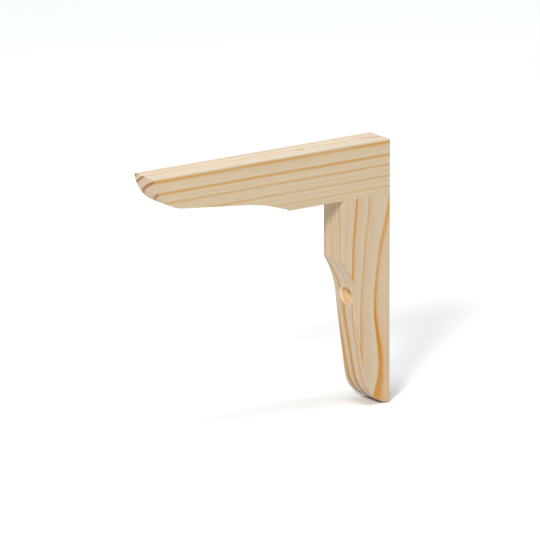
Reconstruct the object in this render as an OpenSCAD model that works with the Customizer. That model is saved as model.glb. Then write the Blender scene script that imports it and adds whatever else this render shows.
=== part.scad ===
// Wooden corbel bracket: an arm that carries a shelf and a leg that lies on the
// wall, two boards of one timber held by a glued bridle joint.
// Millimetres. The back of the bracket lies in the plane Y = 0 with the wall
// behind it at +Y, the arm reaches out to -Y, +Z is up and X runs across the
// thickness. The origin is where the wall screw's axis meets the wall.

/* [Timber] */
// Thickness of both boards
board_t = 28; // [24:0.5:40]
// Height of the arm's board
arm_h = 46; // [40:0.5:60]
// Depth of the leg's board, measured out from the wall
leg_d = 47; // [40:0.5:60]

/* [Overall] */
// Reach of the arm from the wall to its tip
arm_l = 235; // [195:1:290]
// Height of the whole bracket
bracket_h = 226; // [190:1:280]

/* [Arm carving] */
// Straight underside between the leg and the cove
arm_flat = 54; // [40:0.5:70]
// Height that the taper would leave at the arm's tip
arm_end_h = 25; // [18:0.5:32]
// Slope of the tapered underside, in degrees
arm_taper = 6.2; // [2:0.1:7]
// Radius of the cove that starts the taper
arm_cove_r = 160; // [120:1:200]
// How far the cove is cut into the tapered face where they meet
arm_cove_dip = 0.1; // [0.05:0.05:1]
// Radius of the rounded nose
arm_nose_r = 32; // [24:0.5:40]

/* [Leg carving] */
// Straight front between the arm and the cove
leg_flat = 52.5; // [40:0.5:65]
// Depth that the taper would leave at the leg's foot
leg_end_d = 22.8; // [18:0.2:30]
// Slope of the tapered front, in degrees
leg_taper = 7.7; // [3:0.1:9]
// Radius of the cove that starts the taper
leg_cove_r = 79; // [60:1:110]
// How far the cove is cut into the tapered face where they meet
leg_cove_dip = 1; // [0.5:0.1:3]
// How far out of square the cove is cut, deeper towards +X, in degrees
leg_cove_skew = 11; // [0:0.5:12]
// Radius of the rounded foot
leg_nose_r = 29.5; // [22:0.5:36]

/* [Bridle joint] */
// Thickness of the leg's tongue
tongue_t = 12; // [8:0.5:16]
// Depth of the leg's tongue, measured out from the wall
tongue_d = 19; // [12:0.5:30]
// Glue line left on each side of the tongue
glue_gap = 0.1; // [0.05:0.05:0.3]

/* [Screws] */
// Diameter of the holes that the screws pass through
screw_d = 7; // [4:0.5:8]
// Diameter of the recesses that take the screw heads
recess_d = 15; // [11:0.5:18]
// Wood left under each screw head
seat = 20; // [12:0.5:24]
// Distance of the wall screw below the top of the arm
wall_screw_drop = 131.5; // [125:0.5:140]
// Distance of the shelf screw from the wall
shelf_screw_out = 80; // [65:0.5:95]

/* [Hidden] */
// The kinds of wood: the arm is a little paler than the leg
arm_colour = [0.88, 0.78, 0.62];
leg_colour = [0.84, 0.73, 0.56];
// How far a cutting tool reaches past the wood
past = 5;
// The noses meet the tapered faces at this small angle, in degrees
nose_meet = 1.5;
// Facets of the broad carved curves and of the screw holes
carve_fn = 360;
hole_fn = 96;

// ---- Outline of a carved board -------------------------------------------
// A board lies along x from its joint end at 0, with its straight reference
// edge at y = 0 and its carved edge on the side of +y.

// Depth of the tapered edge at a distance x along the board
function taper_y(x, length, end_w, taper) = end_w + (length - x) * tan(taper);

// Centre of the cove: its arc starts at the corner [flat, width] and dips
// below the tapered edge by dip
function cove_centre(length, width, flat, end_w, taper, r, dip) =
  let (
    corner_out = (width - taper_y(flat, length, end_w, taper)) * cos(taper),
    out = r - dip - corner_out,
    along = sqrt(r * r - out * out)
  )
  [flat + out * sin(taper) + along * cos(taper),
   width + out * cos(taper) - along * sin(taper)];

// Centre of the nose: its arc meets the tapered edge at nose_meet and ends at
// the tip [length, 0], or is a quarter round where the board's end is thick
function nose_centre(length, end_w, taper, r) =
  let (
    m = tan(taper),
    lift = r * cos(nose_meet) / cos(taper),
    quarter_x = length - r * cos(nose_meet),
    quarter_y = taper_y(quarter_x, length, end_w, taper) - lift,
    a = end_w + length * m - lift,
    b = length + a * m,
    tip_x = (b - sqrt(b * b - (1 + m * m) * (length * length + a * a - r * r)))
            / (1 + m * m)
  )
  quarter_y > 0 ? [quarter_x, quarter_y] : [tip_x, a - m * tip_x];

// Everything beyond the nose that is cut away, in the plane of the outline
module nose_waste(length, width, end_w, taper, r) {
  centre = nose_centre(length, end_w, taper, r);
  difference() {
    translate(centre)
      rotate(-taper)
        translate([0, -width]) square([width, 3 * width]);
    translate(centre) circle(r, $fn = carve_fn);
    if (centre[1] > 0) translate([0, -past]) square([length + past, centre[1] + past]);
  }
}

// A carved board, centred on its thickness: cove, taper and rounded nose. The
// skew turns the cove about its corner's middle, so the corner stays square
module carved_board(length, width, flat, end_w, taper, cove_r, cove_dip, cove_skew, nose_r) {
  cove = cove_centre(length, width, flat, end_w, taper, cove_r, cove_dip);
  corner = [flat, width];
  reach = cove - corner;
  taper_x = cove[0] - cove_r * sin(taper);
  difference() {
    translate([0, 0, -board_t / 2]) cube([length, width, board_t]);
    translate([corner[0], corner[1], 0])
      rotate(a = -cove_skew, v = [reach[0], reach[1], 0])
        translate([reach[0], reach[1], 0])
          cylinder(h = 3 * board_t, r = cove_r, center = true, $fn = carve_fn);
    linear_extrude(board_t + 2 * past, center = true)
      polygon([
        [taper_x, taper_y(taper_x, length, end_w, taper)],
        [length + past, taper_y(length + past, length, end_w, taper)],
        [length + past, width + past],
        [taper_x, width + past]
      ]);
    linear_extrude(board_t + 2 * past, center = true)
      nose_waste(length, width, end_w, taper, nose_r);
  }
}

// Screw hole with a recess for the head: the hole comes out at z = 0, and the
// recess opens upwards from the seat
module screw_hole(wood) {
  translate([0, 0, -past]) cylinder(h = wood + 2 * past, d = screw_d, $fn = hole_fn);
  translate([0, 0, seat]) cylinder(h = wood, d = recess_d, $fn = hole_fn);
}

// ---- Pieces ---------------------------------------------------------------

// The arm: its slot is open at the back and takes the leg's tongue
module arm() {
  slot_t = tongue_t + 2 * glue_gap;
  slot_d = tongue_d + glue_gap;
  color(arm_colour)
    translate([0, 0, wall_screw_drop])
      difference() {
        rotate([-90, 0, 0])
          rotate([0, 90, 0])
            carved_board(arm_l, arm_h, leg_d + arm_flat, arm_end_h, arm_taper,
                         arm_cove_r, arm_cove_dip, 0, arm_nose_r);
        translate([-slot_t / 2, -slot_d, -arm_h - past])
          cube([slot_t, slot_d + past, arm_h + 2 * past]);
        translate([0, -shelf_screw_out, 0]) mirror([0, 0, 1]) screw_hole(arm_h);
      }
}

// The leg: it carries the arm on its shoulders and holds it by its tongue
module leg() {
  color(leg_colour)
    difference() {
      translate([0, 0, wall_screw_drop])
        rotate([0, 90, 180])
          difference() {
            carved_board(bracket_h, leg_d, arm_h + leg_flat, leg_end_d, leg_taper,
                         leg_cove_r, leg_cove_dip, leg_cove_skew, leg_nose_r);
            tongue_waste();
          }
      rotate([90, 0, 0]) screw_hole(leg_d);
    }
}

// What is cut away around the tongue, as the board lies
module tongue_waste() {
  for (side = [0, 1])
    mirror([0, 0, side])
      translate([-past, -past, tongue_t / 2])
        cube([arm_h + past, leg_d + 2 * past, board_t]);
  translate([-past, tongue_d, -board_t])
    cube([arm_h + past, leg_d, 2 * board_t]);
}

arm();
leg();
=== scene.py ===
# %% [markdown]
# # A wooden corbel bracket
# The real thing is two short boards of planed pine. The leg lies on the wall, the
# arm reaches out and carries a shelf, and a glued tongue holds them together.
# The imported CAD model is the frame: everything here is in metres in its frame,
# with the wall in the plane Y = 0, the arm reaching to -Y and Z up.

# %% Load the frame
import bpy
import bmesh
from math import cos, pi, radians, sin, sqrt, tan
from mathutils import Matrix, Quaternion, Vector


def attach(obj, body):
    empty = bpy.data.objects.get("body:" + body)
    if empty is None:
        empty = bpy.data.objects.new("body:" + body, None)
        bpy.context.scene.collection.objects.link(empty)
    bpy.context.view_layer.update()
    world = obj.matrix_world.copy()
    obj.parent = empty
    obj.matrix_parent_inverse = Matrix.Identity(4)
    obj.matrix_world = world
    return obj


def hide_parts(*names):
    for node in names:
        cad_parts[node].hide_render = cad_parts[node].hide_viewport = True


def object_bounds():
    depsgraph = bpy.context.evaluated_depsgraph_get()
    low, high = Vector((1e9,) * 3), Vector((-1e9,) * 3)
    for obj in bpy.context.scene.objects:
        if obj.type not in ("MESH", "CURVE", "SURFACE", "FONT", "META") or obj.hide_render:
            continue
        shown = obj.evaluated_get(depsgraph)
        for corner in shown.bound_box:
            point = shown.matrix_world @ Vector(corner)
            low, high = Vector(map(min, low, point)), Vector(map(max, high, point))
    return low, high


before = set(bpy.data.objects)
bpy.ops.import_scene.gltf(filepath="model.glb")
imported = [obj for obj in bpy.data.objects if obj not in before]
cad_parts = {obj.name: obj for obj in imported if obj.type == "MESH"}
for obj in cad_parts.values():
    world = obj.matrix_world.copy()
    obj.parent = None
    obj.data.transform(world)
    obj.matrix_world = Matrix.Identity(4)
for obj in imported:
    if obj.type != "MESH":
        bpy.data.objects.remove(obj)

cad_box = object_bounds()
print("CAD box in mm:", [[round(c * 1000, 1) for c in corner] for corner in cad_box])

# %% [markdown]
# ## The camera
# The bracket is seen from far away with a long lens, so that its edges run almost
# parallel. The camera looks at a point on the middle of the bracket from a little
# above it, from the side of the thickness that is +X.

# %% Camera
look_at = Vector((0, -0.1112, 0.0338))
turn, height_angle, tilt = radians(55.11), radians(15.21), radians(-0.14)
distance, lens_mm = 5.730, 465.35
back = Vector((
    sin(turn) * cos(height_angle),
    -cos(turn) * cos(height_angle),
    sin(height_angle),
))
camera = bpy.data.objects.new("camera", bpy.data.cameras.new("camera"))
bpy.context.scene.collection.objects.link(camera)
camera.data.sensor_width = 36
camera.data.lens = lens_mm
camera.data.clip_end = 100
camera.rotation_mode = "QUATERNION"
camera.location = look_at + back * distance
camera.rotation_quaternion = (-back).to_track_quat("-Z", "Y") @ Quaternion((0, 0, 1), tilt)
bpy.context.scene.camera = camera
print("camera at", [round(c, 3) for c in camera.location])

# %% [markdown]
# ## The floor
# A plain pale floor lies just under the foot of the leg. One large flat sheet is
# enough. A very faint mottling keeps it from being perfectly even, as paint on a
# board is.

# %% Floor
def link_object(name, mesh):
    made = bpy.data.objects.new(name, mesh)
    bpy.context.scene.collection.objects.link(made)
    return made


floor_reach = 2.2
floor_mesh = bpy.data.meshes.new("floor")
bm = bmesh.new()
bmesh.ops.create_grid(bm, x_segments=1, y_segments=1, size=floor_reach)
bmesh.ops.translate(bm, verts=bm.verts, vec=(0, 0, cad_box[0].z - 0.0002))
bm.to_mesh(floor_mesh)
bm.free()
floor = link_object("floor", floor_mesh)
print("floor at height", round(cad_box[0].z * 1000, 1), "mm")

# %% [markdown]
# ## The light
# A product table: white all round, a broad soft box overhead that makes the tops
# the brightest faces, and a gentler one in front. Large lights give soft edges to
# every shadow. The Standard view keeps the pale wood's own colours. Past the
# floor's edge the eye sees a pale backdrop, brighter than the light it gives, and a
# small lamp behind lights the back arris.

# %% Lights and surroundings
scene = bpy.context.scene
scene.view_settings.view_transform = "Standard"
scene.world = bpy.data.worlds.new("white surroundings")
scene.world.use_nodes = True
surroundings = scene.world.node_tree.nodes["Background"]
surroundings.inputs["Color"].default_value = (0.965, 0.98, 1.0, 1)
surroundings.inputs["Strength"].default_value = 0.385
sky = scene.world.node_tree
backdrop = sky.nodes.new("ShaderNodeBackground")
backdrop.inputs["Color"].default_value = (0.94, 0.945, 0.95, 1)
choice = sky.nodes.new("ShaderNodeMixShader")
path = sky.nodes.new("ShaderNodeLightPath")
sky.links.new(path.outputs["Is Camera Ray"], choice.inputs[0])
sky.links.new(surroundings.outputs[0], choice.inputs[1])
sky.links.new(backdrop.outputs[0], choice.inputs[2])
sky.links.new(choice.outputs[0], sky.nodes["World Output"].inputs[0])


def soft_box(name, place, target, size, power, colour):
    lamp = bpy.data.lights.new(name, "AREA")
    lamp.shape = "DISK"
    lamp.size = size
    lamp.energy = power
    lamp.color = colour
    made = bpy.data.objects.new(name, lamp)
    bpy.context.scene.collection.objects.link(made)
    made.location = place
    made.rotation_mode = "QUATERNION"
    made.rotation_quaternion = (Vector(target) - Vector(place)).to_track_quat("-Z", "Y")
    return made


bracket_middle = (0, -0.1, 0.02)
soft_box("overhead soft box", (0.5, -0.7, 4.7), bracket_middle, 1.6, 118, (0.965, 0.975, 0.965))
soft_box("front soft box", (2.1, -2.7, 2.3), bracket_middle, 0.9, 115, (1.0, 0.98, 0.95))
soft_box("cool back soft box", (-2.7, 2.0, 0.95), bracket_middle, 1.6, 16, (0.72, 0.87, 1.0))
soft_box("arris soft box", (1.2, 2.6, 1.0), bracket_middle, 1.0, 11, (1.0, 0.99, 0.97))

# %% [markdown]
# ## Two boards, cut as a joiner cuts them
# Both boards have the same kind of outline: a straight back edge, a flat, a cove,
# a long taper and a rounded nose. The outline could be one extruded polygon, but
# the leg's cove was cut a little out of square, so the cove is cut with a drum,
# as on the real bracket. Here are the sizes, in millimetres, and the geometry of
# the cove's and the nose's centres on the board, with u along it and v across.

# %% Sizes of the two boards
MM = 0.001
thick = 28.0
top = 131.5
arm_size = dict(length=235.0, width=46.0, flat=101.0, end=25.0, taper=radians(6.2),
                cove_r=160.0, dip=0.1, skew=0.0, nose_r=32.0)
leg_size = dict(length=226.0, width=47.0, flat=98.5, end=22.8, taper=radians(7.7),
                cove_r=79.0, dip=1.0, skew=radians(11), nose_r=29.5)
nose_meet = radians(1.5)


def taper_v(size, u):
    return size["end"] + (size["length"] - u) * tan(size["taper"])


def cove_centre(size):
    t, r = size["taper"], size["cove_r"]
    corner_out = (size["width"] - taper_v(size, size["flat"])) * cos(t)
    out = r - size["dip"] - corner_out
    along = sqrt(r * r - out * out)
    u = size["flat"] + out * sin(t) + along * cos(t)
    return u, size["width"] + out * cos(t) - along * sin(t)


def nose_centre(size):
    m, r, length = tan(size["taper"]), size["nose_r"], size["length"]
    lift = r * cos(nose_meet) / cos(size["taper"])
    a = size["end"] + length * m - lift
    b = length + a * m
    u = (b - sqrt(b * b - (1 + m * m) * (length * length + a * a - r * r))) / (1 + m * m)
    return u, a - m * u


for name, size in (("arm", arm_size), ("leg", leg_size)):
    print(name, "cove centre", [round(c, 1) for c in cove_centre(size)],
          "nose centre", [round(c, 1) for c in nose_centre(size)])

# %% [markdown]
# ## Sawing the outline
# The straight edges are a few corners. The nose is a quarter of a wheel, so its
# last corner is spun round the nose's centre. The outline is filled and extruded
# through the thickness. The two boards only differ in where u and v point.

# %% Outline and thickness
def on_arm(u, v, x=0.0):
    return Vector((x, -u, top - v)) * MM


def on_leg(u, v, x=0.0):
    return Vector((x, -v, top - u)) * MM


def sawn_board(size, place):
    t = size["taper"]
    taper_u = cove_centre(size)[0] - size["cove_r"] * sin(t)
    nose_u, nose_v = nose_centre(size)
    begin = t + nose_meet
    nose_start = (nose_u + size["nose_r"] * sin(begin), nose_v + size["nose_r"] * cos(begin))
    corners = [(0, 0), (0, size["width"]), (taper_u, size["width"]),
               (taper_u, taper_v(size, taper_u)), nose_start]
    bm = bmesh.new()
    verts = [bm.verts.new(place(u, v, -thick / 2)) for u, v in corners]
    for a, b in zip(verts, verts[1:]):
        bm.edges.new((a, b))
    centre = place(nose_u, nose_v, -thick / 2)
    tip = place(size["length"], 0, -thick / 2)
    sweep = (verts[-1].co - centre).angle(tip - centre)
    turning = (verts[-1].co - centre).cross(tip - centre).x
    arc = bmesh.ops.spin(bm, geom=[verts[-1]], cent=centre, axis=(1, 0, 0), dvec=(0, 0, 0),
                         angle=sweep if turning > 0 else -sweep, steps=40)
    last = [v for v in arc["geom_last"] if isinstance(v, bmesh.types.BMVert)][0]
    bm.edges.new((last, verts[0]))
    bmesh.ops.remove_doubles(bm, verts=bm.verts, dist=1e-7)
    sheet = bmesh.ops.edgeloop_fill(bm, edges=bm.edges)["faces"]
    grown = bmesh.ops.extrude_face_region(bm, geom=sheet)["geom"]
    bmesh.ops.translate(bm, verts=[g for g in grown if isinstance(g, bmesh.types.BMVert)],
                        vec=(thick * MM, 0, 0))
    bmesh.ops.recalc_face_normals(bm, faces=bm.faces)
    return bm


def as_object(name, bm):
    mesh = bpy.data.meshes.new(name)
    bm.to_mesh(mesh)
    bm.free()
    return link_object(name, mesh)


arm = as_object("carved_arm", sawn_board(arm_size, on_arm))
leg = as_object("carved_leg", sawn_board(leg_size, on_leg))
print("blanks:", len(arm.data.polygons), "and", len(leg.data.polygons), "faces")

# %% [markdown]
# ## Cutting wood away
# Every tool leaves its own shape: a drum for the coves, drills for the screws and
# a chisel or saw for the joint. A Boolean modifier takes one tool's shape out of
# a board at a time, and its result is kept as the board's mesh.

# %% Tools that cut
def cut_away(board, tool_bm):
    bmesh.ops.recalc_face_normals(tool_bm, faces=tool_bm.faces)
    tool = as_object("tool", tool_bm)
    cut = board.modifiers.new("cut", "BOOLEAN")
    cut.operation = "DIFFERENCE"
    cut.solver = "EXACT"
    cut.object = tool
    seen = bpy.context.evaluated_depsgraph_get()
    mesh = bpy.data.meshes.new_from_object(board.evaluated_get(seen))
    board.modifiers.clear()
    board.data = mesh
    bpy.data.objects.remove(tool)


def drum(radius, length, place, steps):
    bm = bmesh.new()
    bmesh.ops.create_cone(bm, cap_ends=True, segments=steps, radius1=radius * MM,
                          radius2=radius * MM, depth=length * MM, matrix=place)
    return bm


def block(low, high):
    bm = bmesh.new()
    low, high = Vector(low) * MM, Vector(high) * MM
    bmesh.ops.create_cube(bm, size=1)
    bmesh.ops.scale(bm, vec=high - low, verts=bm.verts)
    bmesh.ops.translate(bm, vec=(low + high) / 2, verts=bm.verts)
    return bm


along_x = Matrix.Rotation(pi / 2, 4, "Y")
along_y = Matrix.Rotation(pi / 2, 4, "X")
print("tools ready: drum and block")

# %% [markdown]
# ## The coves
# A drum of the cove's radius starts at the corner of the flat and sinks into the
# tapered edge. On the leg it was held 11 degrees out of square, which makes the
# near corner of the cove deeper than the far one.

# %% Cut the coves
for board, size, place in ((arm, arm_size, on_arm), (leg, leg_size, on_leg)):
    corner = place(size["flat"], size["width"])
    reach = place(*cove_centre(size)) - corner
    lean = Matrix.Rotation(-size["skew"], 4, reach) if size["skew"] else Matrix.Identity(4)
    drum_place = Matrix.Translation(corner) @ lean @ Matrix.Translation(reach) @ along_x
    cut_away(board, drum(size["cove_r"], 90, drum_place, 480 if size is arm_size else 300))
    print(board.name, "has", len(board.data.polygons), "faces")

# %% [markdown]
# ## The bridle joint
# The arm's slot is open at the back. The leg's tongue is what is left when both
# cheeks and the front are sawn off, and a line of glue stays round it.

# %% Cut the joint
tongue_half, tongue_deep, glue = 6.0, 19.0, 0.1
shoulder = top - arm_size["width"]
leg_front = -leg_size["width"]
cut_away(arm, block((-tongue_half - glue, -tongue_deep - glue, shoulder - 5),
                    (tongue_half + glue, 5, top + 5)))
for side in (-1, 1):
    cheek = sorted((side * tongue_half, side * (thick / 2 + 5)))
    cut_away(leg, block((cheek[0], -52, shoulder), (cheek[1], 5, top + 5)))
cut_away(leg, block((-tongue_half - 5, -52, shoulder), (tongue_half + 5, -tongue_deep, top + 5)))
print("joint cut; leg has", len(leg.data.polygons), "faces")

# %% [markdown]
# ## The screw holes
# A wide recess lets each screw's head sink deep into the wood, and a narrower
# hole goes on from its seat. The arm's recess opens downwards, and the leg's opens
# on the cove, where its edge becomes a long oval.

# %% Drill the holes
screw_r, recess_r, seat, shelf_out = 3.5, 7.5, 20.0, 80.0


def drill(board, radius, start, end, direction):
    middle = (Vector(start) + Vector(end)) / 2 * MM
    long = (Vector(end) - Vector(start)).length
    cut_away(board, drum(radius, long, Matrix.Translation(middle) @ direction, 96))


drill(arm, screw_r, (0, -shelf_out, 80), (0, -shelf_out, top + 5), Matrix.Identity(4))
drill(arm, recess_r, (0, -shelf_out, 80), (0, -shelf_out, top - seat), Matrix.Identity(4))
drill(leg, screw_r, (0, -60, 0), (0, 5, 0), along_y)
drill(leg, recess_r, (0, -60, 0), (0, -seat, 0), along_y)
print("holes drilled; arm has", len(arm.data.polygons), "faces")

# %% [markdown]
# ## Eased arrises
# Every outer edge of the real bracket is rubbed down a little, so it catches the
# light as a thin line. A bevel of three segments gives the rounded arris. The
# boards were planed flush at the joint, so its lines only get a fine chamfer, which
# lets the tongue's outline be seen. The rims of the holes are torn a little by the
# drill, more where it came through the leg's cove. The underside of the arm is
# first divided where the leg ends, so that the easing stops there. Each face also
# keeps how it was drilled, as an attribute: 1 inside a hole and 0.5 on its rim.

# %% Ease the arrises
def tidy_mesh(bm):
    bmesh.ops.remove_doubles(bm, verts=bm.verts, dist=2e-6)
    bmesh.ops.dissolve_limit(bm, angle_limit=radians(0.05), verts=bm.verts, edges=bm.edges)
    bmesh.ops.recalc_face_normals(bm, faces=bm.faces)


def middle_mm(edge):
    return (edge.verts[0].co + edge.verts[1].co) / 2 / MM


def in_joint(p):
    beside_slot = abs(p.x) < tongue_half + 0.5 and p.y > -tongue_deep - 0.5
    on_shoulder = abs(p.z - shoulder) < 0.05 and p.y > leg_front - 0.05
    return on_shoulder or (beside_slot and p.z > shoulder - 0.05)


def at_hole(p, spare=0.2):
    shelf = sqrt(p.x ** 2 + (p.y + shelf_out) ** 2)
    wall = sqrt(p.x ** 2 + p.z ** 2)
    return shelf < recess_r + spare or wall < recess_r + spare


def inside_hole(p):
    in_arm = abs(p.z - (top - seat)) < 0.1 and p.z > shoulder
    return in_arm or (abs(p.y + seat) < 0.1 and abs(p.z) < recess_r + 1)


def on_outside(p):
    return abs(p.z - top) < 0.05 or abs(p.y) < 0.05 or abs(abs(p.x) - thick / 2) < 0.05


def on_joint_line(p):
    return in_joint(p) or (abs(p.z - shoulder) < 0.3 and p.y > leg_front - 0.3)


def how_drilled(face):
    p = face.calc_center_median() / MM
    if not at_hole(p, 1.0):
        return 0.0
    away = Vector((p.x, p.y + shelf_out, 0)) if p.z > shoulder else Vector((p.x, 0, p.z))
    inward = -face.normal.dot(away.normalized())
    if inside_hole(p) or inward > 0.93:
        return 1.0
    small = max(e.calc_length() for e in face.edges) < 1.6 * MM
    return 0.5 if small and inward > 0.15 else 0.0


joint_chamfer, arris_width = 0.3, 0.75


def ease(board, width, rim_width):
    bm = bmesh.new()
    bm.from_mesh(board.data)
    tidy_mesh(bm)
    if board is arm:
        under = [f for f in bm.faces if abs(f.calc_center_median().z / MM - shoulder) < 0.05]
        parts = under + [e for f in under for e in f.edges] + [v for f in under for v in f.verts]
        bmesh.ops.bisect_plane(bm, geom=list(set(parts)), dist=1e-6,
                               plane_co=(0, leg_front * MM, 0), plane_no=(0, 1, 0))
    corners = [e for e in bm.edges
               if e.is_manifold and e.is_convex and e.calc_face_angle() > radians(15)]
    lines = [e for e in corners if in_joint(middle_mm(e)) and on_outside(middle_mm(e))]
    bmesh.ops.bevel(bm, geom=lines, offset=joint_chamfer * MM, offset_type="OFFSET", segments=1,
                    profile=0.5, affect="EDGES", clamp_overlap=True, material=-1)
    corners = [e for e in bm.edges
               if e.is_manifold and e.is_convex and e.calc_face_angle() > radians(15)]
    corners = [e for e in corners if not on_joint_line(middle_mm(e))]
    rims = [e for e in corners if at_hole(middle_mm(e)) and not inside_hole(middle_mm(e))]
    arrises = [e for e in corners if not at_hole(middle_mm(e)) and not in_joint(middle_mm(e))]
    bmesh.ops.bevel(bm, geom=rims, offset=rim_width * MM, offset_type="OFFSET", segments=2,
                    profile=0.5, affect="EDGES", clamp_overlap=False, material=-1)
    arrises = [e for e in arrises if e.is_valid]
    bmesh.ops.bevel(bm, geom=arrises, offset=width * MM, offset_type="OFFSET", segments=3,
                    profile=0.5, affect="EDGES", clamp_overlap=True, material=-1)
    bmesh.ops.recalc_face_normals(bm, faces=bm.faces)
    drilled = bm.faces.layers.float.new("drilled")
    for face in bm.faces:
        face[drilled] = how_drilled(face)
    open_edges = sum(1 for e in bm.edges if not e.is_manifold)
    print(board.name, "eased:", len(arrises), "arris and", len(rims), "rim edges;",
          len(bm.verts), "corners, open edges:", open_edges,
          "volume in cm3:", round(bm.calc_volume() * 1e6, 1))
    bm.to_mesh(board.data)
    bm.free()


ease(arm, arris_width, 0.3)
ease(leg, arris_width, 0.8)

# %% [markdown]
# ## Smooth light on the curves
# The noses and coves are many narrow flats. Smooth shading rounds them, and a
# weighted normal modifier keeps the broad flat faces flat right up to the eased
# arris. Edges sharper than 40 degrees stay sharp, as in the joint.

# %% Shade the boards
for board in (arm, leg):
    board.data.shade_smooth()
    board.data.set_sharp_from_angle(angle=radians(40))
    weighted = board.modifiers.new("flat faces stay flat", "WEIGHTED_NORMAL")
    weighted.mode = "FACE_AREA"
    weighted.weight = 80
    weighted.keep_sharp = True
    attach(board, "root")
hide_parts("arm")
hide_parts("leg")
print("two boards ride on the frame")

# %% [markdown]
# ## A small kit for shader nodes
# Node trees are easier to read when a node is made and wired in one line. These
# two helpers add a node with its values, and join sockets.

# %% Node helpers
def add(tree, kind, spot, settings=None, **inputs):
    node = tree.nodes.new("ShaderNode" + kind)
    node.location = (spot[0] * 200, spot[1] * -200)
    for key, value in (settings or {}).items():
        setattr(node, key, value)
    for key, value in inputs.items():
        socket = node.inputs[int(key[1:])] if key[0] == "i" and key[1:].isdigit() \
            else node.inputs[key.replace("_", " ")]
        if isinstance(value, bpy.types.NodeSocket):
            tree.links.new(value, socket)
        else:
            socket.default_value = value
    return node


def maths(tree, spot, operation, a, b=0.0, c=0.0, clamp=False):
    node = add(tree, "Math", spot, {"operation": operation, "use_clamp": clamp}, i0=a, i1=b, i2=c)
    return node.outputs[0]


def new_group(name, inputs, outputs):
    tree = bpy.data.node_groups.new(name, "ShaderNodeTree")
    for label, kind, value in inputs:
        socket = tree.interface.new_socket(label, in_out="INPUT", socket_type="NodeSocket" + kind)
        if value is not None:
            socket.default_value = value
    for label, kind in outputs:
        tree.interface.new_socket(label, in_out="OUTPUT", socket_type="NodeSocket" + kind)
    start = tree.nodes.new("NodeGroupInput")
    start.location = (-400, 0)
    end = tree.nodes.new("NodeGroupOutput")
    end.location = (3000, 0)
    return tree, start.outputs, end.inputs


def ramp(tree, spot, factor, stops, blend="LINEAR"):
    node = add(tree, "ValToRGB", spot, Fac=factor)
    line = node.color_ramp
    line.interpolation = blend
    while len(line.elements) < len(stops):
        line.elements.new(1.0)
    for element, (at, colour) in zip(line.elements, stops):
        element.position = at
        element.color = (*colour, 1) if len(colour) == 3 else colour
    return node.outputs[0]


print("node helpers ready")

# %% [markdown]
# ## Distance from the heart of the tree
# Pine's lines are its yearly rings, cut through. Painting lines on each face
# would never meet at the corners, so the wood is solid: every point knows how far
# it lies from the heart of the tree it was sawn from. The heart bends a little
# along the board, and a slow noise makes the rings slightly uneven.

# %% Node group: heart distance
heart, given, gives = new_group(
    "distance from the heart",
    [("Place", "Vector", None), ("Bend X", "Float", 0.0), ("Bend Y", "Float", 0.0),
     ("Unevenness", "Float", 0.5), ("Jitter", "Float", 0.3)],
    [("Distance", "Float")])
apart = add(heart, "SeparateXYZ", (0, 0), Vector=given["Place"]).outputs
across = maths(heart, (1, 0), "SUBTRACT", maths(heart, (1, -1), "MULTIPLY", apart[0], 1000.0),
               given["Bend X"])
deep = maths(heart, (1, 1), "SUBTRACT", maths(heart, (1, 2), "MULTIPLY", apart[1], 1000.0),
             given["Bend Y"])
squares = maths(heart, (3, 0), "ADD", maths(heart, (2, 0), "MULTIPLY", across, across),
                maths(heart, (2, 1), "MULTIPLY", deep, deep))
radius = maths(heart, (4, 0), "SQRT", squares)
slow = add(heart, "Mapping", (1, 3), Vector=given["Place"], Scale=(34, 34, 11)).outputs[0]
uneven = add(heart, "TexNoise", (2, 3), Vector=slow, Scale=1.0, Detail=2.0, Roughness=0.45)
offset = maths(heart, (3, 3), "MULTIPLY", maths(heart, (3, 2), "SUBTRACT", uneven.outputs[0], 0.5),
               given["Unevenness"])
fine_place = add(heart, "Mapping", (1, 4), Vector=given["Place"], Scale=(500, 500, 60)).outputs[0]
fine = add(heart, "TexNoise", (2, 4), Vector=fine_place, Scale=1.0, Detail=2.0)
jitter = maths(heart, (3, 4), "MULTIPLY", maths(heart, (3, 5), "SUBTRACT", fine.outputs[0], 0.5),
               given["Jitter"])
heart.links.new(
    maths(heart, (6, 0), "ADD", maths(heart, (5, 0), "ADD", radius, offset), jitter),
    gives["Distance"])
print("group:", heart.name)

# %% [markdown]
# ## One year of growth
# In spring the wood grows pale and soft, and towards autumn it grows dark and
# dense, until it stops suddenly. So each ring has a dark core that ends in a sharp
# edge on the bark's side, and a faint tail on the heart's side. The wood that
# follows, grown in the next spring, is the palest. The whole part of the ring count
# is dropped, and the rest says how far through the year each point is.

# %% Node group: yearly ring
year, given, gives = new_group(
    "yearly ring",
    [("Years", "Float", 0.0), ("Boldness", "Float", 1.0), ("Late share", "Float", 0.12)],
    [("Late wood", "Float")])
core_sharpness, tail_width, tail_strength, flush_strength = 2.4, 3.6, 0.33, -0.14
season = maths(year, (0, 0), "FRACT", given["Years"])
left = maths(year, (1, 0), "SUBTRACT", 1.0, season)
core = maths(year, (2, 0), "SUBTRACT", 1.0, maths(year, (2, 1), "DIVIDE", left, given["Late share"]),
             clamp=True)
core = maths(year, (3, 0), "MULTIPLY", core, core_sharpness, clamp=True)
wide = maths(year, (2, 2), "MULTIPLY", given["Late share"], tail_width)
wide = maths(year, (2, 3), "MINIMUM", wide, 0.95)
tail = maths(year, (4, 2), "SUBTRACT", 1.0, maths(year, (3, 2), "DIVIDE", left, wide), clamp=True)
tail = maths(year, (5, 2), "MULTIPLY", maths(year, (5, 3), "POWER", tail, 1.4), tail_strength)
stop = add(year, "MapRange", (3, 1), {"interpolation_type": "SMOOTHSTEP"}, Value=season,
           From_Min=0.965, From_Max=1.0, To_Min=1.0, To_Max=0.0).outputs[0]
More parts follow.
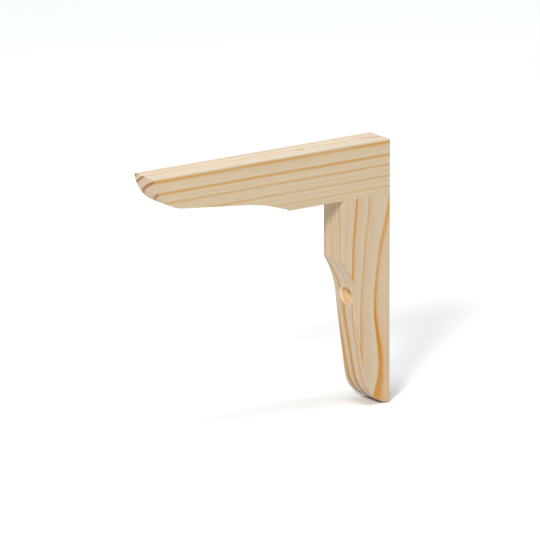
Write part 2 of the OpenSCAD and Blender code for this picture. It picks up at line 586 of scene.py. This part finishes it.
late = maths(year, (6, 1), "MULTIPLY", maths(year, (6, 0), "MAXIMUM", core, tail), stop)
flush = maths(year, (5, 4), "POWER", left, 6.0)
late = maths(year, (7, 1), "MULTIPLY_ADD", flush, flush_strength, late)
year.links.new(maths(year, (7, 0), "MULTIPLY", late, given["Boldness"]), gives["Late wood"])
print("group:", year.name)

# %% [markdown]
# ## The face of planed pine
# Up close the wood has fine fibres along the grain, slow streaks of tone, and
# short dark flecks where resin canals are cut open. On end grain the fibres are
# seen end on, so it is rougher and mottled, and its rings are browner. A drilled
# wall is painted a bright gold with strokes: partly its cut fibres, partly painted
# light that stands in for light bouncing round inside the hole. Its rim is painted
# pale: partly torn fibres, partly a painted highlight on the rim. The group mixes
# these over the rings and gives the colour, roughness and relief.

# %% Node group: planed pine
pine, given, gives = new_group(
    "planed pine",
    [("Place", "Vector", None), ("Late wood", "Float", 0.0), ("End grain", "Float", 0.0),
     ("Spring colour", "Color", (0.80, 0.66, 0.47, 1)),
     ("Autumn colour", "Color", (0.58, 0.33, 0.13, 1)),
     ("End colour", "Color", (0.50, 0.37, 0.24, 1)), ("Drilled", "Float", 0.0),
     ("End rings", "Float", 1.0)],
    [("Colour", "Color"), ("Roughness", "Float"), ("Relief", "Float")])


def stretched_noise(spot, across_mm, along_mm, detail=3.0):
    scale = (1000 / across_mm, 1000 / across_mm, 1000 / along_mm)
    place = add(pine, "Mapping", spot, Vector=given["Place"], Scale=scale).outputs[0]
    return add(pine, "TexNoise", (spot[0] + 1, spot[1]), Vector=place, Scale=1.0,
               Detail=detail, Roughness=0.55).outputs[0]


fibres = stretched_noise((0, 0), 0.45, 22.0)
streaks = stretched_noise((0, 1), 2.6, 90.0)
clouds = stretched_noise((0, 2), 16.0, 60.0, 2.0)
flecks = stretched_noise((0, 3), 0.55, 7.0, 1.0)
mottle = stretched_noise((0, 4), 0.35, 0.35, 2.0)


def mixed(tree, spot, factor, a, b, blend="MIX", hold=True):
    node = add(tree, "Mix", spot, {"data_type": "RGBA", "blend_type": blend, "clamp_factor": hold})
    for socket, value in zip((node.inputs[0], node.inputs[6], node.inputs[7]), (factor, a, b)):
        if isinstance(value, bpy.types.NodeSocket):
            tree.links.new(value, socket)
        else:
            socket.default_value = value
    return node.outputs[2]


strength = add(pine, "MapRange", (2, 5), Value=clouds, From_Min=0.35, From_Max=0.65,
               To_Min=0.78, To_Max=1.08).outputs[0]
varied_late = maths(pine, (3, 4), "MULTIPLY", given["Late wood"], strength)
rings_colour = mixed(pine, (3, 0), varied_late, given["Spring colour"],
                     given["Autumn colour"], hold=False)
tone = add(pine, "MapRange", (3, 1), Value=streaks, From_Min=0.25, From_Max=0.75,
           To_Min=0.955, To_Max=1.035).outputs[0]
grain_tone = add(pine, "MapRange", (3, 2), Value=fibres, From_Min=0.25, From_Max=0.75,
                 To_Min=0.94, To_Max=1.055).outputs[0]
cloud_tone = add(pine, "MapRange", (3, 3), Value=clouds, From_Min=0.3, From_Max=0.7,
                 To_Min=0.98, To_Max=1.015).outputs[0]
all_tone = maths(pine, (4, 1), "MULTIPLY", maths(pine, (4, 2), "MULTIPLY", tone, grain_tone),
                 cloud_tone)
toned = add(pine, "VectorMath", (5, 0), {"operation": "SCALE"}, i0=rings_colour, Scale=all_tone)
fleck_mask = add(pine, "MapRange", (4, 3), {"interpolation_type": "SMOOTHSTEP"}, Value=flecks,
                 From_Min=0.74, From_Max=0.84, To_Min=0.0, To_Max=0.5).outputs[0]
flecked = mixed(pine, (6, 0), fleck_mask, toned.outputs[0], (0.36, 0.20, 0.09, 1))
end_tone = add(pine, "MapRange", (4, 4), Value=mottle, From_Min=0.3, From_Max=0.7,
               To_Min=0.8, To_Max=1.14).outputs[0]
end_late = maths(pine, (4, 5), "POWER", maths(pine, (3, 5), "MAXIMUM", given["Late wood"], 0.0),
                 1.7)
end_late = maths(pine, (5, 5), "MULTIPLY", end_late, given["End rings"])
end_wood = mixed(pine, (5, 3), end_late, given["End colour"], (0.42, 0.16, 0.025, 1))
end_wood = add(pine, "VectorMath", (6, 3), {"operation": "SCALE"}, i0=end_wood,
               Scale=end_tone).outputs[0]
planed = mixed(pine, (8, 0), given["End grain"], flecked, end_wood)
strokes = add(pine, "MapRange", (6, 5), Value=stretched_noise((4, 7), 3.5, 16.0, 1.0),
              From_Min=0.3, From_Max=0.7).outputs[0]
# Drilled walls: painted bright gold, partly cut fibres and partly painted light for the bounce inside
# the hole.
bored_and_painted_light = mixed(pine, (7, 4), strokes, (0.77, 0.53, 0.24, 1), (0.95, 0.81, 0.58, 1))
in_hole = maths(pine, (7, 5), "MULTIPLY_ADD", given["Drilled"], 2.0, -1.0, clamp=True)
at_rim = maths(pine, (7, 6), "MULTIPLY", given["Drilled"], 1.5, clamp=True)
# Rims: painted pale, partly torn fibres and partly a painted highlight.
torn_rim_and_painted_highlight = mixed(pine, (9, 0), at_rim, planed, (0.84, 0.76, 0.67, 1))
pine.links.new(mixed(pine, (10, 0), in_hole, torn_rim_and_painted_highlight, bored_and_painted_light), gives["Colour"])
dull = maths(pine, (7, 1), "MULTIPLY_ADD", given["Late wood"], -0.1, 0.46)
dull = maths(pine, (8, 1), "MULTIPLY_ADD", given["End grain"], 0.2, dull)
pine.links.new(maths(pine, (9, 1), "MULTIPLY_ADD", fibres, 0.12, dull), gives["Roughness"])
ridge = maths(pine, (7, 2), "MULTIPLY", given["Late wood"], 0.5)
raised = maths(pine, (8, 2), "MULTIPLY_ADD", fibres, 0.6, ridge)
pine.links.new(maths(pine, (9, 2), "MULTIPLY_ADD", fleck_mask, -0.5, raised), gives["Relief"])
print("group:", pine.name)

# %% [markdown]
# ## The two boards' wood
# Each board was sawn from its own place in its own tree, so each gets the place
# and lean of the heart, how the heart bends along the board, and a list of its
# years: the distance of each ring's edge from the heart in millimetres, how bold
# its late wood is and how much of the year it takes. One colour ramp counts the
# years, and a stepped one holds how bold and how wide each is. The bends carry a
# last value, how bold the lines are at that place along the board. The "drilled"
# attribute marks the drilled walls, painted bright gold as cut fibres plus painted
# light, and the rims, painted pale as torn fibres plus a painted highlight.

# %% Material maker
def years_ramp(tree, spot, distance, years):
    low, high = years[0][0], years[-1][0]
    at = add(tree, "MapRange", (spot[0] - 1, spot[1]), Value=distance, From_Min=low,
             From_Max=high, To_Min=0.0, To_Max=1.0).outputs[0]
    count = len(years) - 1
    spots = [(edge - low) / (high - low) for edge, bold, share in years]
    grey = ramp(tree, spot, at, [(p, (i / count,) * 3) for i, p in enumerate(spots)])
    kinds = [(p, (0, bold, share)) for p, (edge, bold, share) in zip(spots, years[1:])]
    kind = add(tree, "SeparateColor", (spot[0] + 1, spot[1] + 1),
               Color=ramp(tree, (spot[0], spot[1] + 1), at, kinds, "CONSTANT")).outputs
    return maths(tree, (spot[0] + 2, spot[1]), "MULTIPLY", grey, float(count)), kind[1], kind[2]


def pine_material(name, heart_place, heart_turn, bends, years, unevenness, grain, colours):
    material = bpy.data.materials.new(name)
    material.use_nodes = True
    tree = material.node_tree
    shader = tree.nodes["Principled BSDF"]
    shader.location = (2600, 0)
    tree.nodes["Material Output"].location = (2900, 0)
    here = add(tree, "TexCoord", (0, 0)).outputs
    place = add(tree, "Mapping", (1, 0), {"vector_type": "TEXTURE"}, Vector=here["Object"],
                Location=heart_place, Rotation=heart_turn).outputs[0]
    along = add(tree, "SeparateXYZ", (2, 1), Vector=place).outputs[2]
    low, high = bends[0][0], bends[-1][0]
    along = add(tree, "MapRange", (3, 1), Value=along, From_Min=low, From_Max=high).outputs[0]
    stops = [((at - low) / (high - low), (x / 60 + 0.5, y / 60 + 0.5, bold / 2))
             for at, x, y, bold in bends]
    bend = add(tree, "SeparateColor", (5, 1), Color=ramp(tree, (4, 1), along, stops, "CARDINAL"))
    shift = [maths(tree, (6, 1 + i), "MULTIPLY_ADD", bend.outputs[i], 60.0, -30.0) for i in (0, 1)]
    distance = add(tree, "Group", (7, 0), {"node_tree": heart}, Place=place, Bend_X=shift[0],
                   Bend_Y=shift[1], Unevenness=unevenness[0], Jitter=unevenness[1]).outputs[0]
    count, bold, share = years_ramp(tree, (8, 1), distance, years)
    ring = add(tree, "Group", (10, 0), {"node_tree": year}, Years=count, Boldness=bold,
               Late_share=share).outputs[0]
    ring = maths(tree, (10, 1), "MULTIPLY", ring,
                 maths(tree, (9, 2), "MULTIPLY", bend.outputs[2], 2.0))
    facing = add(tree, "VectorMath", (8, 3), {"operation": "DOT_PRODUCT"}, i0=here["Normal"],
                 i1=grain)
    end = add(tree, "MapRange", (10, 3), Value=maths(tree, (9, 3), "ABSOLUTE", facing.outputs["Value"]),
              From_Min=0.04, From_Max=0.95).outputs[0]
    drilled = add(tree, "Attribute", (9, 5), {"attribute_name": "drilled"}).outputs["Fac"]
    face = add(tree, "Group", (11, 0), {"node_tree": pine}, Place=place, Late_wood=ring,
               End_grain=end, Drilled=drilled, Spring_colour=colours[0], Autumn_colour=colours[1],
               End_colour=colours[2], End_rings=colours[3]).outputs
    tree.links.new(face["Colour"], shader.inputs["Base Color"])
    tree.links.new(face["Roughness"], shader.inputs["Roughness"])
    relief = add(tree, "Bump", (12, 2), Height=face["Relief"], Strength=0.35, Distance=0.0001)
    tree.links.new(relief.outputs[0], shader.inputs["Normal"])
    shader.inputs["IOR"].default_value = 1.5
    shader.inputs["Sheen Weight"].default_value = 0.1
    shader.inputs["Sheen Roughness"].default_value = 0.35
    shader.inputs["Sheen Tint"].default_value = (0.93, 0.96, 1.0, 1)
    return material


print("material maker ready")

# %% [markdown]
# ## The arm's wood
# The heart of the arm's tree ran along the board, 35 mm outside its +X face and
# 54 mm below its underside. So the rings are arcs on the nose and straight lines on
# the sides. The years are bold near the top of the board and faint low down.

# %% Arm material
arm_years = [(58.0, 0.0, 0.14), (63.5, 0.6, 0.25), (67.2, 0.3, 0.25), (70.4, 0.75, 0.5),
             (74.6, 0.3, 0.25), (78.3, 0.9, 0.46), (82.6, 0.28, 0.25), (87.0, 1.0, 0.5),
             (91.0, 0.25, 0.3), (95.0, 1.15, 0.75), (105.0, 1.15, 0.32), (112.7, 1.0, 0.34),
             (117.5, 1.0, 0.5), (123.0, 0.8, 0.4)]
arm_bends = [(-0.01, 0.0, 0.0, 1.0), (0.12, 0.0, 0.0, 1.0), (0.24, 0.0, 0.0, 1.0)]
arm_colours = [(0.59, 0.475, 0.32, 1), (0.56, 0.325, 0.12, 1), (0.66, 0.53, 0.385, 1), 1.5]
arm.data.materials.clear()
arm.data.materials.append(pine_material(
    "arm pine", (0.049, 0, 0.0315), (pi / 2, 0, 0), arm_bends, arm_years, (0.8, 0.35),
    (0, 1, 0), arm_colours))
print("arm:", len(arm_years) - 1, "years of growth")

# %% [markdown]
# ## The leg's wood
# The heart of the leg's tree was further away, 106 mm outside the -X face, and it
# was bent. So the lines on the leg's side swing in slow waves, and the tapered
# front shows long pointed figures. The lines are bolder towards the foot.

# %% Leg material
leg_years = [(96.0, 0.6, 0.3), (104.0, 0.75, 0.4), (112.0, 0.85, 0.34), (119.4, 1.0, 0.65),
             (128.1, 1.05, 0.58), (136.6, 1.2, 0.155), (141.4, 0.8, 0.26), (146.0, 1.7, 0.27),
             (149.3, 0.4, 0.25), (153.5, 0.8, 0.3), (158.0, 0.6, 0.3)]
leg_bends = [(-0.0945, -1.5, -2.8, 1.15), (-0.0685, -0.4, 11.4, 1.2), (-0.0385, 1.3, 18.5, 1.15),
             (-0.0085, 4.3, 26.0, 0.95), (0.0215, 3.9, 27.4, 0.72), (0.0515, 1.2, 23.0, 0.68),
             (0.0915, -0.86, 21.7, 0.75), (0.1315, -2.0, 19.0, 0.75)]
leg_colours = [(0.59, 0.468, 0.32, 1), (0.555, 0.28, 0.07, 1), (0.63, 0.54, 0.44, 1), 0.8]
leg.data.materials.clear()
leg.data.materials.append(pine_material(
    "leg pine", (-0.120, 0, 0), (0, 0, 0), leg_bends, leg_years, (0.12, 0.14),
    (0, 0, 1), leg_colours))
print("leg:", len(leg_years) - 1, "years of growth")

# %% [markdown]
# ## The floor's paint
# The floor is painted pale, with a faint slow mottling. A white floor would throw
# so much light up that the undersides lose their shade, so it is only as bright as
# that when seen directly: for light that bounces off it, it is a duller paint.

# %% Floor material
paint = bpy.data.materials.new("pale floor paint")
paint.use_nodes = True
paint_tree = paint.node_tree
where = add(paint_tree, "TexCoord", (-4, 0)).outputs["Object"]
cloudy = add(paint_tree, "TexNoise", (-3, 0), Vector=where, Scale=3.0, Detail=2.0).outputs[0]
paint_shader = paint_tree.nodes["Principled BSDF"]
paint_colour = ramp(paint_tree, (-2, 0), cloudy,
                    [(0.3, (0.94, 0.94, 0.935)), (0.7, (0.955, 0.955, 0.95))])
seen = add(paint_tree, "LightPath", (-2, 1)).outputs["Is Camera Ray"]
paint_colour = mixed(paint_tree, (-1, 0), seen, (0.70, 0.69, 0.67, 1), paint_colour)
paint_tree.links.new(paint_colour, paint_shader.inputs["Base Color"])
paint_shader.inputs["Roughness"].default_value = 0.9
paint_shader.inputs["Specular IOR Level"].default_value = 0.1
floor.data.materials.append(paint)
print("floor painted")
